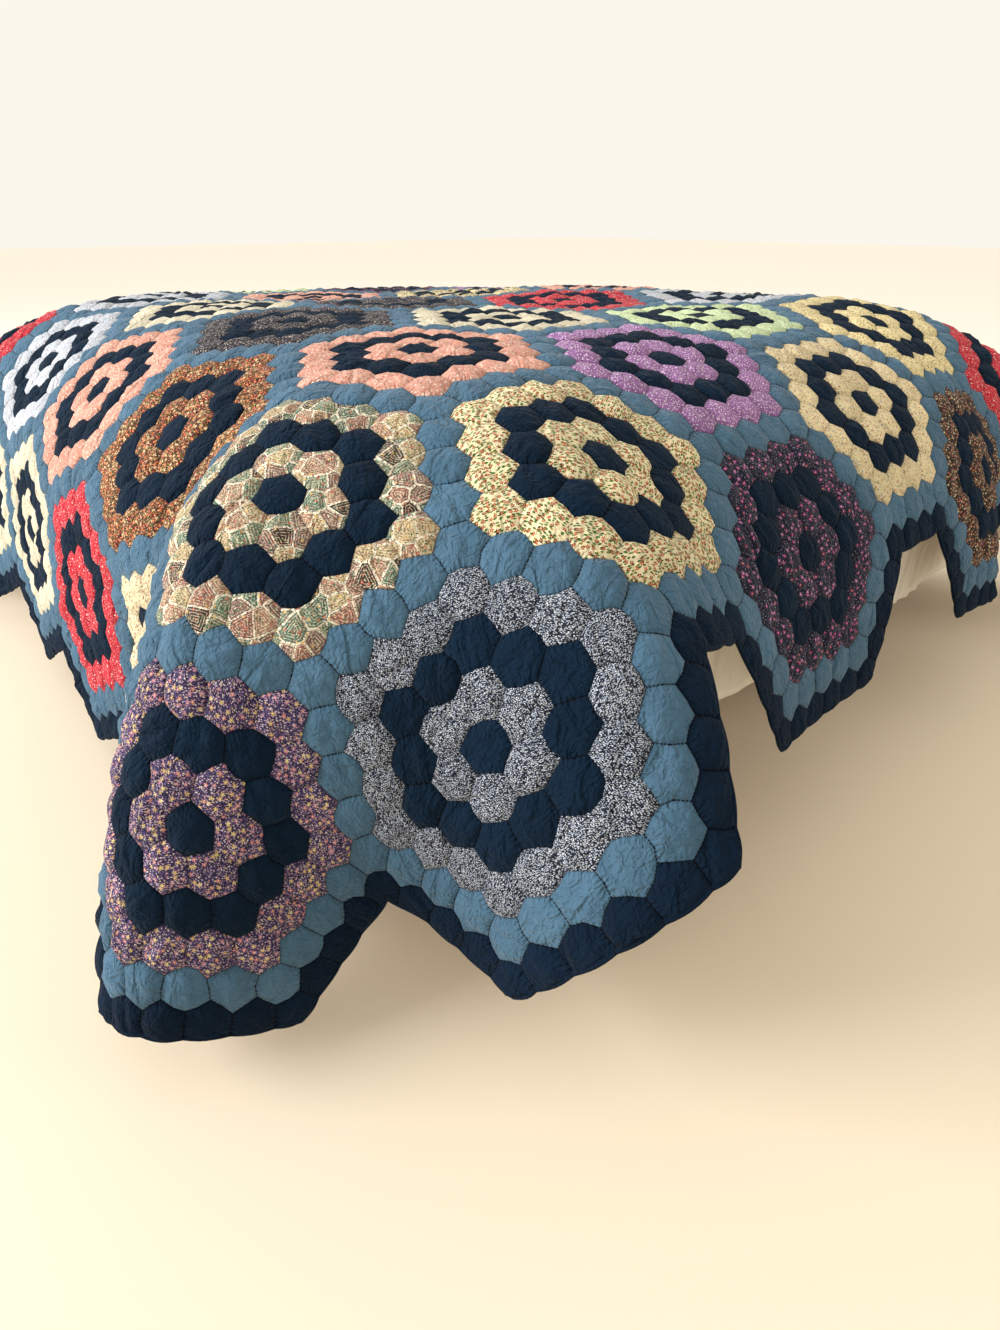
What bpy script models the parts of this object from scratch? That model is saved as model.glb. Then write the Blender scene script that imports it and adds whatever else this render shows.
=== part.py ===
# A hexagon patchwork quilt on a plain bed: quilt, bed sheet, mattress, base and four legs.
# Metres, +Z up. The floor is z = 0, and the outer corner with the deep folds is at -X -Y.
import bpy
import numpy as np

# Patchwork: paper-pieced hexagons with 31.75 mm (1 1/4 inch) sides
patch_width = 0.055
row_rise = patch_width * np.sqrt(3) / 2
rosette_pitch = 8 * row_rise
line_pitch = 6 * patch_width
lines = 8
rosettes_in_first_line = 6
rosette_rings = 5
quilt_thickness = 0.006
quilt_face_share = 0.50  # of the faces kept where the cloth is smooth

# Bed
bed_size_x, bed_size_y = 1.76, 1.96
bed_corner_radius = 0.26
crown_height = 0.72
floor_gap = 0.25
solid_gap = 0.0005  # between the base and what stands on or under it
base_height = 0.06
base_inset = 0.055
base_corner_radius = 0.06
base_corner_facets = 4
mattress_bottom = floor_gap + base_height + solid_gap
leg_radius, leg_inset = 0.035, 0.30
leg_foot_share = 0.75  # of the radius at the top
leg_facets = 24
under_quilt_gap = 0.054
under_sheet_gap = 0.018
quilt_side_gap = 0.042
quilt_corner_gap = 0.020
side_begins = 0.20  # the quilt clears the bed's sides from this far below the crown
side_blend = 0.08

# Bed sheet
sheet_thickness = 0.002
sheet_hem_height = 0.215
sheet_stand_off = 0.030
sheet_corner_stand_off = 0.012
sheet_spread = 0.006
hem_rise, hem_ripple = 0.010, 0.006
hem_swells, hem_swell_start = 5, 1.0

# Rings of the mattress's top from its centre out. Columns: inset from the side, corner radius.
top_rings = ((0.60, 0.08), (0.40, 0.16), (0.27, 0.22), (0.15, 0.25), (0.06, 0.26), (0.0, 0.26))
side_steps, corner_steps = 16, 6
mattress_shoulder = 0.03

# The sheet's hanging skirt, one row for each level. Columns: share of the hang, stand off and
# fold depth as shares of the full stand off.
skirt_levels = ((0.12, 0.29, 0.00), (0.35, 0.52, 0.15), (0.65, 0.62, 0.25), (1.00, 0.65, 0.35))
# Its folds are two waves round the bed. Columns: how many, share of the depth, start.
skirt_waves = ((13, 0.6, 0.5), (21, 0.4, 2.0))

# Half size of the quilt's flat middle: it begins to roll over from there
half_flat_x, half_flat_y = 0.43, 0.51

# The plain roll over a side: its slope at the end, and its length over the Y and X sides
side_slope = 80
roll_over_y, roll_over_x = 0.92, 0.79
bearing_reach = 0.30  # how softly a corner's folds die out along the sides
corner_blend = 0.50  # width of the band in which the folds of two corners meet
longest_roll = 1.10
roll_steps = 28
roll_samples = 45

# The folds of each corner, one row each, read round from the Y side (bearing 0) to the X side
# (bearing 90). A lobe flares out (slope change below 0), a valley drops in (above 0).
# Columns: bearing and half width in degrees, change of end slope, change of roll length.
corner_folds = {
    (-1, -1): (
        (17, 15, -21, 0.20),
        (42, 10, 14, 0.16),
        (64, 15, -10, 0.20),
        (87, 8, 6, -0.06),
    ),
    (1, -1): (
        (20, 10, 7, 0.00),
        (47, 16, -32, 0.30),
        (72, 9, 5, 0.05),
    ),
    (1, 1): (
        (16, 9, 6, 0.00),
        (45, 17, -35, 0.32),
        (76, 11, 0, 0.14),
    ),
    (-1, 1): (
        (15, 14, -16, 0.13),
        (42, 10, 12, 0.14),
        (67, 14, -15, 0.21),
    ),
}

# Soft mounds (+) and hollows (-) of the bed's top. Columns: x, y, height, reach.
top_mounds = (
    (0.80, 0.75, -0.045, 0.75), (0.40, -0.05, 0.016, 0.26), (0.67, -0.60, 0.018, 0.26),
    (-0.20, 0.40, -0.012, 0.30), (-0.35, -0.10, 0.006, 0.25), (0.15, -0.35, -0.008, 0.20),
)

# Gentle waves of the hanging sides. Columns: side axis, sign, place along the side,
# outward swing at the hem, half width of the wave.
side_waves = (
    ("y", -1, 0.10, 0.008, 0.14), ("y", -1, 0.55, 0.012, 0.16), ("x", -1, 0.05, 0.010, 0.15),
    ("x", -1, 0.42, 0.012, 0.14), ("y", 1, -0.50, 0.020, 0.15), ("y", 1, 0.10, 0.018, 0.17),
    ("y", 1, -0.20, -0.014, 0.12), ("x", 1, -0.35, 0.018, 0.15), ("x", 1, 0.25, 0.016, 0.14),
)

# The side waves start this far out and down, and grow to full depth over the spans
wave_out, wave_out_span = 0.65, 0.20
wave_down, wave_down_span = 0.12, 0.40
wave_growth = 1.3

# How the cloth settles. In each round the seams are drawn to their length, rows of patches are
# straightened a little, and all is held a little to the plain drape.
settle_rounds = 160
seam_pull = 0.23
straightening = 0.012
drape_hold = 0.02
evening_rounds = 1

colours = {
    "quilt": (0.065, 0.135, 0.235), "bed_sheet": (0.80, 0.77, 0.70),
    "mattress": (0.78, 0.76, 0.72), "bed_base": (0.55, 0.47, 0.38), "leg": (0.35, 0.24, 0.15),
}
cloth_roughness, base_roughness, leg_roughness = 0.9, 0.6, 0.5


def ease(share):
    share = np.clip(share, 0, 1)
    return share * share * (3 - 2 * share)


def fold_roll(bearing, folds):
    """End slope and length of the roll at a bearing: the plain roll plus the corner's folds."""
    slope = np.full_like(bearing, side_slope)
    length = roll_over_y + (roll_over_x - roll_over_y) * ease(bearing / 90)
    for place, half_width, slope_change, length_change in folds:
        nearness = np.exp(-((bearing - place) / half_width) ** 2)
        slope += slope_change * nearness
        length += length_change * nearness
    return slope, length


def roll_profile(outward, slope, length):
    """Plan reach and drop of cloth that leaves the flat and steepens to slope over length."""
    share = (np.arange(roll_steps) + 0.5) / roll_steps
    done = np.clip(outward[:, None] * share / length[:, None], 0, 1)
    lean = slope[:, None] * done * done * (3 - 2 * done)
    return np.cos(lean).mean(1) * outward, np.sin(lean).mean(1) * outward


def roll_at(x, y):
    """Distance past the flat middle, its direction, and the roll's slope and length there."""
    inner_x, inner_y = np.clip(x, -half_flat_x, half_flat_x), np.clip(y, -half_flat_y, half_flat_y)
    outward = np.hypot(x - inner_x, y - inner_y)
    slope, length = np.zeros_like(x), np.zeros_like(x)
    for (side_x, side_y), folds in corner_folds.items():
        out_x, out_y = side_x * x - half_flat_x, side_y * y - half_flat_y
        bearing = np.degrees(np.arctan2(np.maximum(out_x, 0), np.maximum(out_y, 0) + 1e-9))
        beside_y = -np.degrees(np.arctan2(-out_x, outward + bearing_reach))
        beside_x = 90 + np.degrees(np.arctan2(-out_y, outward + bearing_reach))
        bearing = np.where(out_x <= 0, beside_y, np.where(out_y <= 0, beside_x, bearing))
        weight = ease(side_x * x / corner_blend + 0.5) * ease(side_y * y / corner_blend + 0.5)
        corner_slope, corner_length = fold_roll(bearing, folds)
        slope += weight * corner_slope
        length += weight * corner_length
    away = np.maximum(outward, 1e-9)
    direction = np.c_[(x - inner_x) / away, (y - inner_y) / away]
    return inner_x, inner_y, outward, direction, np.radians(slope), length


def mounds_at(x, y):
    return sum(height * np.exp(-((x - at_x) ** 2 + (y - at_y) ** 2) / reach ** 2)
               for at_x, at_y, height, reach in top_mounds)


def waves_at(x, y, drop):
    """Sideways swing of the hanging cloth, growing from the shoulder to the hem."""
    swing = np.zeros((len(x), 2))
    for axis, sign, place, depth, half_width in side_waves:
        along, across = (x, y) if axis == "y" else (y, x)
        on_side = np.clip((sign * across - wave_out) / wave_out_span, 0, 1)
        grow = np.clip((drop - wave_down) / wave_down_span, 0, 1) ** wave_growth
        amount = sign * depth * grow * on_side * np.exp(-((along - place) / half_width) ** 2)
        swing[:, 1 if axis == "y" else 0] += amount
    return swing


def coarse_drape(x, y):
    """Where a point of the flat quilt comes to lie before its seams are brought to length."""
    inner_x, inner_y, outward, direction, slope, length = roll_at(x, y)
    reach, drop = roll_profile(outward, slope, length)
    plan = np.c_[inner_x, inner_y] + direction * reach[:, None]
    plan = plan + waves_at(plan[:, 0], plan[:, 1], drop)
    height = crown_height - drop + mounds_at(plan[:, 0], plan[:, 1])
    return np.c_[plan, height]


def cloth_height(x, y):
    """Height of the quilt above a point of the plan, out to the edge of the bed."""
    inner_x, inner_y, away, direction, slope, length = roll_at(x, y)
    samples = np.linspace(0, longest_roll, roll_samples)
    heights = np.empty_like(x)
    for i in range(len(x)):
        reach, drop = roll_profile(samples, np.full_like(samples, slope[i]),
                                   np.full_like(samples, length[i]))
        rising = np.maximum.accumulate(reach)
        heights[i] = crown_height - np.interp(away[i], rising, drop)
    return heights + mounds_at(x, y)


def quilt_lattice():
    """Flat patch centres, their number by half-steps and rows, and each one's ring in its rosette.
    Past the outermost patches one more ring is kept, towards which they are cut and turned under."""
    rings = {}
    reach = rosette_rings + 1
    for line in range(lines):
        count = rosettes_in_first_line + line % 2
        centre_x = (line - (lines - 1) / 2) * line_pitch
        for place in range(count):
            centre_y = (place - (count - 1) / 2) * rosette_pitch
            base_key = (round(centre_x / patch_width * 2), round(centre_y / row_rise))
            for a in range(-reach, reach + 1):
                for b in range(-reach, reach + 1):
                    ring = max(abs(a), abs(b), abs(a + b))
                    key = (base_key[0] + 2 * a + b, base_key[1] + b)
                    if ring <= reach:
                        rings[key] = min(ring, rings.get(key, ring))
    keys = sorted(rings)
    flat = np.array([(i * patch_width / 2, j * row_rise) for i, j in keys])
    number = {key: n for n, key in enumerate(keys)}
    return flat, number, np.array([rings[key] for key in keys])


def lattice_links(number, rings):
    """Pairs of neighbours, the triangles that hold a patch, and threes in a straight row."""
    links, faces, straights = [], [], []
    for (i, j), n in number.items():
        east, north_east = number.get((i + 2, j)), number.get((i + 1, j + 1))
        north_west = number.get((i - 1, j + 1))
        links += [(n, m) for m in (east, north_east, north_west) if m is not None]
        for triangle in ((n, east, north_east), (n, north_east, north_west)):
            if None not in triangle and min(rings[m] for m in triangle) <= rosette_rings:
                faces.append(triangle)
        for di, dj in ((2, 0), (1, 1), (-1, 1)):
            ahead, behind = number.get((i + di, j + dj)), number.get((i - di, j - dj))
            if ahead is not None and behind is not None:
                straights.append((behind, n, ahead))
    return np.array(links), faces, np.array(straights)


def even_out(moves, links, rounds):
    """Each point's move is averaged with its neighbours', so that no row stands proud."""
    for _ in range(rounds):
        total, count = moves.copy(), np.ones((len(moves), 1))
        for here, there in ((0, 1), (1, 0)):
            np.add.at(total, links[:, here], moves[links[:, there]])
            np.add.at(count, links[:, here], 1)
        moves = total / count
    return moves


def draw_in_hem(points, number, rings):
    """The hem runs a third of a row past the outermost patches' centres, where their sides end."""
    drawn = points.copy()
    for (i, j), n in number.items():
        if rings[n] <= rosette_rings:
            continue
        around = [number.get((i + di, j + dj)) for di, dj in
                  ((2, 0), (1, 1), (-1, 1), (-2, 0), (-1, -1), (1, -1))]
        patches = [m for m in around if m is not None and rings[m] <= rosette_rings]
        if len(patches) > 2:  # in a notch, only the innermost patch counts
            middle = points[patches].mean(0)
            patches = [min(patches, key=lambda m: np.linalg.norm(points[m] - middle))]
        drawn[n] = (2 * points[patches].mean(0) + points[n]) / 3
    return drawn


def outside_bed(points):
    """Moves low points that are too near the bed's outline out from it, less at its corners."""
    inner_half = np.array([bed_size_x / 2, bed_size_y / 2]) - bed_corner_radius
    inner = np.clip(points[:, :2], -inner_half, inner_half)
    away = points[:, :2] - inner
    distance = np.maximum(np.linalg.norm(away, axis=1), 1e-6)
    way = away / distance[:, None]
    cornering = 1 - np.abs(way[:, 0] ** 2 - way[:, 1] ** 2)
    gap = quilt_side_gap + (quilt_corner_gap - quilt_side_gap) * cornering
    low = np.clip((crown_height - side_begins - points[:, 2]) / side_blend, 0, 1)
    depth = np.maximum(bed_corner_radius + gap - distance, 0) * low
    points[:, :2] += way * depth[:, None]
    return points


def bring_to_length(points, flat, links, straights):
    """Cloth hardly stretches: each pass moves neighbouring points towards their flat distance."""
    start = points.copy()
    rest = np.linalg.norm(flat[links[:, 0]] - flat[links[:, 1]], axis=1)[:, None]
    for _ in range(settle_rounds):
        gap = points[links[:, 1]] - points[links[:, 0]]
        distance = np.linalg.norm(gap, axis=1)[:, None]
        correction = gap * 0.5 * (1 - rest / distance)
        move = np.zeros_like(points)
        np.add.at(move, links[:, 0], correction)
        np.add.at(move, links[:, 1], -correction)
        points = points + seam_pull * move
        middle = (points[straights[:, 0]] + points[straights[:, 2]]) / 2 - points[straights[:, 1]]
        move = np.zeros_like(points)
        np.add.at(move, straights[:, 1], middle)
        points = points + straightening * move + drape_hold * (start - points)
        points = outside_bed(points)
    return start + even_out(points - start, links, evening_rounds)


def add_object(name, vertices, faces, colour):
    mesh = bpy.data.meshes.new(name)
    mesh.from_pydata([tuple(v) for v in vertices], [], faces)
    mesh.validate()
    body = bpy.data.objects.new(name, mesh)
    parts.objects.link(body)
    finish(body, name, colour, cloth_roughness)
    return body


def finish(body, name, colour, roughness):
    material = bpy.data.materials.new(name)
    material.use_nodes = True
    shader = material.node_tree.nodes["Principled BSDF"]
    shader.inputs["Base Color"].default_value = (*colour, 1)
    shader.inputs["Roughness"].default_value = roughness
    body.data.materials.clear()
    body.data.materials.append(material)


def thicken(body, thickness, offset):
    solid = body.modifiers.new("thickness", "SOLIDIFY")
    solid.thickness = thickness
    solid.offset = offset


def make_quilt():
    flat, number, rings = quilt_lattice()
    links, faces, straights = lattice_links(number, rings)
    points = coarse_drape(flat[:, 0], flat[:, 1])
    points = bring_to_length(points, flat, links, straights)
    points = draw_in_hem(points, number, rings)
    used = sorted({n for face in faces for n in face})
    place = {n: k for k, n in enumerate(used)}
    faces = [tuple(place[n] for n in face) for face in faces]
    quilt = add_object("quilt", points[used], faces, colours["quilt"])
    thin_out = quilt.modifiers.new("fewer faces where smooth", "DECIMATE")
    thin_out.ratio = quilt_face_share
    thicken(quilt, quilt_thickness, 0)
    return quilt


def rounded_outline(inset, radius):
    """Points round the bed's outline, drawn in by inset, anticlockwise from +X +Y."""
    half_x, half_y = bed_size_x / 2 - inset, bed_size_y / 2 - inset
    signs = ((1, 1), (-1, 1), (-1, -1), (1, -1))
    outline = []
    for corner, (sx, sy) in enumerate(signs):
        for step in range(corner_steps + 1):
            angle = np.pi / 2 * (corner + step / corner_steps)
            outline.append((sx * (half_x - radius) + radius * np.cos(angle),
                            sy * (half_y - radius) + radius * np.sin(angle)))
        next_x, next_y = signs[(corner + 1) % 4]
        angle = np.pi / 2 * (corner + 1)
        start = np.array(outline[-1])
        end = np.array((next_x * (half_x - radius) + radius * np.cos(angle),
                        next_y * (half_y - radius) + radius * np.sin(angle)))
        outline += [tuple(start + (end - start) * step / side_steps) for step in range(1, side_steps)]
    return np.array(outline)


def ring_faces(rings, around, closed_bottom):
    faces = [tuple(range(around))]
    for ring in range(rings - 1):
        for step in range(around):
            after = (step + 1) % around
            faces.append((ring * around + step, (ring + 1) * around + step,
                          (ring + 1) * around + after, ring * around + after))
    if closed_bottom:
        faces.append(tuple((rings - 1) * around + step for step in reversed(range(around))))
    return faces


def top_surface(gap, spread):
    rings = []
    for inset, radius in top_rings:
        outline = rounded_outline(inset - spread, radius + spread)
        height = cloth_height(outline[:, 0], outline[:, 1]) - gap
        rings.append(np.c_[outline, height])
    return rings


def make_mattress():
    rings = top_surface(under_quilt_gap, 0)
    edge = rings[-1]
    shoulder = edge.copy()
    shoulder[:, 2] -= mattress_shoulder
    bottom = edge.copy()
    bottom[:, 2] = mattress_bottom
    rings += [shoulder, bottom]
    around = len(edge)
    return add_object("mattress", np.vstack(rings), ring_faces(len(rings), around, True),
                      colours["mattress"])


def make_bed_sheet():
    """The sheet lies on the mattress and hangs past its sides in shallow folds."""
    rings = top_surface(under_quilt_gap - under_sheet_gap, sheet_spread)
    edge = rings[-1]
    around = len(edge)
    outward = edge[:, :2] - rounded_outline(bed_corner_radius, 0)
    outward = outward / np.linalg.norm(outward, axis=1)[:, None]
    cornering = 1 - np.abs(outward[:, 0] ** 2 - outward[:, 1] ** 2)
    reach = sheet_stand_off + (sheet_corner_stand_off - sheet_stand_off) * cornering
    turn = np.arange(around) * 2 * np.pi / around
    waves = sum(depth * np.sin(count * turn + start) for count, depth, start in skirt_waves)
    hem = sheet_hem_height + hem_rise * np.sin(hem_swells * turn + hem_swell_start) + hem_ripple * waves
    for share, stand_off, depth in skirt_levels:
        ring = edge.copy()
        ring[:, :2] += outward * (reach * (stand_off + depth * waves))[:, None]
        ring[:, 2] = edge[:, 2] + (hem - edge[:, 2]) * share
        rings.append(ring)
    sheet = add_object("bed_sheet", np.vstack(rings), ring_faces(len(rings), around, False),
                       colours["bed_sheet"])
    thicken(sheet, sheet_thickness, -1)
    return sheet


def make_base():
    bpy.ops.mesh.primitive_cube_add(size=1)
    base = bpy.context.object
    base.name = base.data.name = "bed_base"
    base.scale = (bed_size_x - 2 * base_inset, bed_size_y - 2 * base_inset, base_height)
    base.location = (0, 0, floor_gap + base_height / 2)
    bpy.ops.object.transform_apply(location=False, rotation=False, scale=True)
    upright = base.modifiers.new("corners", "BEVEL")
    upright.width = base_corner_radius
    upright.segments = base_corner_facets
    upright.limit_method = "WEIGHT"
    weights = base.data.attributes.new("bevel_weight_edge", "FLOAT", "EDGE")
    for edge in base.data.edges:
        a, b = (base.data.vertices[v].co for v in edge.vertices)
        weights.data[edge.index].value = 1.0 if abs(a.z - b.z) > base_height / 2 else 0.0
    collect(base)
    finish(base, "bed_base", colours["bed_base"], base_roughness)


def make_legs():
    for name, sx, sy in (("leg_near_left", -1, -1), ("leg_near_right", 1, -1),
                         ("leg_far_right", 1, 1), ("leg_far_left", -1, 1)):
        bpy.ops.mesh.primitive_cone_add(vertices=leg_facets, radius1=leg_radius * leg_foot_share,
                                        radius2=leg_radius, depth=floor_gap - solid_gap)
        leg = bpy.context.object
        leg.name = leg.data.name = name
        leg.location = (sx * (bed_size_x / 2 - leg_inset), sy * (bed_size_y / 2 - leg_inset),
                        (floor_gap - solid_gap) / 2)
        leg.data.shade_smooth()
        collect(leg)
        finish(leg, name, colours["leg"], leg_roughness)


def collect(body):
    for holder in body.users_collection:
        holder.objects.unlink(body)
    parts.objects.link(body)


def centre_on_origin():
    """The outline's middle goes over the origin. The bed is a little off it, as the hem is uneven."""
    graph = bpy.context.evaluated_depsgraph_get()
    corners = np.array(parts.objects["quilt"].evaluated_get(graph).bound_box)
    middle = (corners.min(0) + corners.max(0)) / 2
    for body in parts.objects:
        body.location.x -= middle[0]
        body.location.y -= middle[1]


for item in list(bpy.data.objects):
    bpy.data.objects.remove(item)
parts = bpy.data.collections.new("patchwork_quilt_on_a_bed")
bpy.context.scene.collection.children.link(parts)
make_quilt()
make_bed_sheet()
make_mattress()
make_base()
make_legs()
bpy.context.view_layer.update()
centre_on_origin()
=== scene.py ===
# A hexagon patchwork quilt over a plain bed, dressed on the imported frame.
import math
import bpy
import numpy as np
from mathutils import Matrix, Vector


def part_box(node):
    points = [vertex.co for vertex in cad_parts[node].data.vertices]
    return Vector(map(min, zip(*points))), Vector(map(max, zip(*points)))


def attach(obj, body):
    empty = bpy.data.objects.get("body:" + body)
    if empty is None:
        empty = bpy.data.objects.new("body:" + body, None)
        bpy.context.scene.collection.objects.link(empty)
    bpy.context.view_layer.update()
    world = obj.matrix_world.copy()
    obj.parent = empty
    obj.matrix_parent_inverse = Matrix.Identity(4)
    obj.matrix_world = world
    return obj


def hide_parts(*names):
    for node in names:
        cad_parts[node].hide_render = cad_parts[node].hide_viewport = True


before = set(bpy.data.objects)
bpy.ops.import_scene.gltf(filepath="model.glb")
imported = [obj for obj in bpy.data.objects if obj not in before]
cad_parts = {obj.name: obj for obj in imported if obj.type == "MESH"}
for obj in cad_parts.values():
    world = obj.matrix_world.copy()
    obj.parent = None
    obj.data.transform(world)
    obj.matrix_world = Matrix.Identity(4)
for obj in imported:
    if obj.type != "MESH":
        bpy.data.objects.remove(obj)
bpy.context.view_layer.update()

print("frame loaded")

mattressLow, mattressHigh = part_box("mattress")
bedMiddle = (np.array(mattressLow) + np.array(mattressHigh)) / 2  # the bed is a little off the origin
bedSizeX, bedSizeY = (mattressHigh.x - mattressLow.x, mattressHigh.y - mattressLow.y)
crownHeight = 0.72

# How the cloth falls, in metres and degrees, as the solid under it
drape = {
    "patchWidth": 0.055,  # 31.75 mm (1 1/4 inch) sides
    "lines": 8,
    "halfFlatX": 0.43,
    "halfFlatY": 0.51,
    "sideSlope": 80,
    "rollOverY": 0.92,
    "rollOverX": 0.79,
    "bedCornerRadius": 0.26,
    "sideGap": 0.042,
    "cornerGap": 0.020,
    "sideBegins": 0.20,
    "sideBlend": 0.08,
    "bearingReach": 0.3,
    "cornerBlend": 0.5,
    "rollSteps": 28,
    "longestRoll": 1.1,
    "rollSamples": 45,
    "waveOut": 0.65,
    "waveOutSpan": 0.20,
    "waveDown": 0.12,
    "waveDownSpan": 0.40,
    "waveGrowth": 1.3,
    "settleRounds": 160,
    "seamPull": 0.23,
    "straightening": 0.012,
    "hold": 0.02,
}
rowRise = drape["patchWidth"] * math.sqrt(3) / 2

# The folds of each corner, one row each: bearing, half width, change of slope, change of roll.
# A lobe flares out (change below 0) and a valley drops in.
cornerFolds = {
    (-1, -1): ((17, 15, -21, 0.20), (42, 10, 14, 0.16), (64, 15, -10, 0.20), (87, 8, 6, -0.06)),
    (1, -1): ((20, 10, 7, 0.00), (47, 16, -32, 0.30), (72, 9, 5, 0.05)),
    (1, 1): ((16, 9, 6, 0.00), (45, 17, -35, 0.32), (76, 11, 0, 0.14)),
    (-1, 1): ((15, 14, -16, 0.13), (42, 10, 12, 0.14), (67, 14, -15, 0.21)),
}
# Mounds and hollows of the top: x, y, height, reach
topMounds = (
    (0.80, 0.75, -0.045, 0.75), (0.40, -0.05, 0.016, 0.26), (0.67, -0.60, 0.018, 0.26),
    (-0.20, 0.40, -0.012, 0.30), (-0.35, -0.10, 0.006, 0.25), (0.15, -0.35, -0.008, 0.20),
)
# Waves of the hanging sides: axis, sign, place, swing, half width
sideWaves = (
    ("y", -1, 0.10, 0.008, 0.14), ("y", -1, 0.55, 0.012, 0.16), ("x", -1, 0.05, 0.010, 0.15),
    ("x", -1, 0.42, 0.012, 0.14), ("y", 1, -0.50, 0.020, 0.15), ("y", 1, 0.10, 0.018, 0.17),
    ("y", 1, -0.20, -0.014, 0.12), ("x", 1, -0.35, 0.018, 0.15), ("x", 1, 0.25, 0.016, 0.14),
)


def ease(share):
    share = np.clip(share, 0, 1)
    return share * share * (3 - 2 * share)


def foldRoll(bearing, folds):
    slope = np.full_like(bearing, drape["sideSlope"])
    length = drape["rollOverY"] + (drape["rollOverX"] - drape["rollOverY"]) * ease(bearing / 90)
    for place, halfWidth, slopeChange, lengthChange in folds:
        nearness = np.exp(-((bearing - place) / halfWidth) ** 2)
        slope += slopeChange * nearness
        length += lengthChange * nearness
    return slope, length


def rollProfile(outward, slope, length):
    share = (np.arange(drape["rollSteps"]) + 0.5) / drape["rollSteps"]
    done = np.clip(outward[:, None] * share / length[:, None], 0, 1)
    lean = slope[:, None] * done * done * (3 - 2 * done)
    return np.cos(lean).mean(1) * outward, np.sin(lean).mean(1) * outward


def rollAt(x, y):
    innerX = np.clip(x, -drape["halfFlatX"], drape["halfFlatX"])
    innerY = np.clip(y, -drape["halfFlatY"], drape["halfFlatY"])
    outward = np.hypot(x - innerX, y - innerY)
    slope, length = np.zeros_like(x), np.zeros_like(x)
    reach, blend = drape["bearingReach"], drape["cornerBlend"]
    for (sideX, sideY), folds in cornerFolds.items():
        outX, outY = sideX * x - drape["halfFlatX"], sideY * y - drape["halfFlatY"]
        bearing = np.degrees(np.arctan2(np.maximum(outX, 0), np.maximum(outY, 0) + 1e-9))
        besideY = -np.degrees(np.arctan2(-outX, outward + reach))
        besideX = 90 + np.degrees(np.arctan2(-outY, outward + reach))
        bearing = np.where(outX <= 0, besideY, np.where(outY <= 0, besideX, bearing))
        weight = ease((sideX * x + blend / 2) / blend) * ease((sideY * y + blend / 2) / blend)
        cornerSlope, cornerLength = foldRoll(bearing, folds)
        slope += weight * cornerSlope
        length += weight * cornerLength
    away = np.maximum(outward, 1e-9)
    direction = np.c_[(x - innerX) / away, (y - innerY) / away]
    return innerX, innerY, outward, direction, np.radians(slope), length


def moundsAt(x, y):
    return sum(h * np.exp(-((x - px) ** 2 + (y - py) ** 2) / r ** 2) for px, py, h, r in topMounds)


def wavesAt(x, y, drop):
    swing = np.zeros((len(x), 2))
    for axis, sign, place, depth, halfWidth in sideWaves:
        along, across = (x, y) if axis == "y" else (y, x)
        onSide = np.clip((sign * across - drape["waveOut"]) / drape["waveOutSpan"], 0, 1)
        grow = np.clip((drop - drape["waveDown"]) / drape["waveDownSpan"], 0, 1) ** drape["waveGrowth"]
        amount = sign * depth * grow * onSide * np.exp(-((along - place) / halfWidth) ** 2)
        swing[:, 1 if axis == "y" else 0] += amount
    return swing


def coarseDrape(x, y):
    innerX, innerY, outward, direction, slope, length = rollAt(x, y)
    reach, drop = rollProfile(outward, slope, length)
    plan = np.c_[innerX, innerY] + direction * reach[:, None]
    plan = plan + wavesAt(plan[:, 0], plan[:, 1], drop)
    return np.c_[plan, crownHeight - drop + moundsAt(plan[:, 0], plan[:, 1])]


def clothHeight(x, y):
    innerX, innerY, away, direction, slope, length = rollAt(x, y)
    count = drape["rollSamples"]
    samples = np.linspace(0, drape["longestRoll"], count)
    heights = np.empty_like(x)
    for i in range(len(x)):
        reach, drop = rollProfile(samples, np.full(count, slope[i]), np.full(count, length[i]))
        heights[i] = crownHeight - np.interp(away[i], np.maximum.accumulate(reach), drop)
    return heights + moundsAt(x, y)


def outsideBed(points):
    innerHalf = np.array([bedSizeX / 2, bedSizeY / 2]) - drape["bedCornerRadius"]
    away = points[:, :2] - np.clip(points[:, :2], -innerHalf, innerHalf)
    distance = np.maximum(np.linalg.norm(away, axis=1), 1e-6)
    way = away / distance[:, None]
    cornering = 1 - np.abs(way[:, 0] ** 2 - way[:, 1] ** 2)
    gap = drape["sideGap"] + (drape["cornerGap"] - drape["sideGap"]) * cornering
    low = np.clip((crownHeight - drape["sideBegins"] - points[:, 2]) / drape["sideBlend"], 0, 1)
    depth = np.maximum(drape["bedCornerRadius"] + gap - distance, 0) * low
    points[:, :2] += way * depth[:, None]
    return points


def bringToLength(points, flat, links, straights):
    start = points.copy()
    rest = np.linalg.norm(flat[links[:, 0]] - flat[links[:, 1]], axis=1)[:, None]
    for _ in range(drape["settleRounds"]):
        gap = points[links[:, 1]] - points[links[:, 0]]
        distance = np.linalg.norm(gap, axis=1)[:, None]
        correction = gap * 0.5 * (1 - rest / distance)
        move = np.zeros_like(points)
        np.add.at(move, links[:, 0], correction)
        np.add.at(move, links[:, 1], -correction)
        points = points + drape["seamPull"] * move
        middle = (points[straights[:, 0]] + points[straights[:, 2]]) / 2 - points[straights[:, 1]]
        move = np.zeros_like(points)
        np.add.at(move, straights[:, 1], middle)
        points = points + drape["straightening"] * move + drape["hold"] * (start - points)
        points = outsideBed(points)
    return points


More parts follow.
